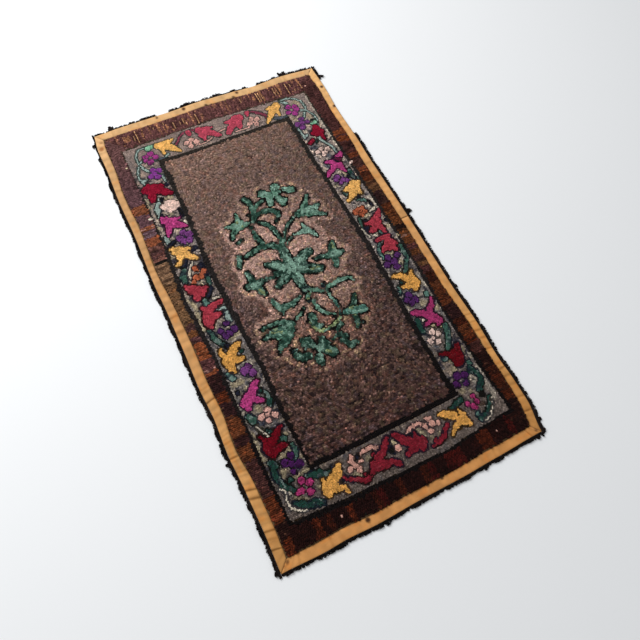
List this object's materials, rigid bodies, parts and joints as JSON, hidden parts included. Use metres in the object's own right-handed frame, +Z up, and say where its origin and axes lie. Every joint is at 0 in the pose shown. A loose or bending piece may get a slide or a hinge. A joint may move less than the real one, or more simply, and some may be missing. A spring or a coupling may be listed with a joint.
{
  "type": "hooked rug",
  "caption": "Flat rectangular hooked rug with a floral border and centre spray, bound with twill tape and edged with black loops.",
  "frame": {"origin": "on the floor under the middle of the rug", "axes": "+X to the right across the rug, +Y along the rug from the near end to the far end, +Z up from the floor through the pile"},
  "size_m": [0.7228, 1.2816, 0.0087],
  "materials": {
    "pile_wool": "matt hooked wool loops in many colours on burlap",
    "gold_twill": "matt cotton twill tape, faded gold",
    "black_wool": "matt fuzzy black wool loops"
  },
  "bodies": {
    "root": {"hooked_panel": "pile_wool", "binding_tape_left": "gold_twill", "binding_tape_right_near": "gold_twill", "binding_tape_right_far": "gold_twill", "binding_tape_far": "gold_twill", "binding_tape_near": "gold_twill", "black_edging_left": "black_wool", "black_edging_right": "black_wool", "black_edging_right_corner": "black_wool", "black_edging_far_left": "black_wool", "black_edging_far_middle": "black_wool", "black_edging_far_right": "black_wool", "black_edging_near": "black_wool"}
  },
  "joints": []
}
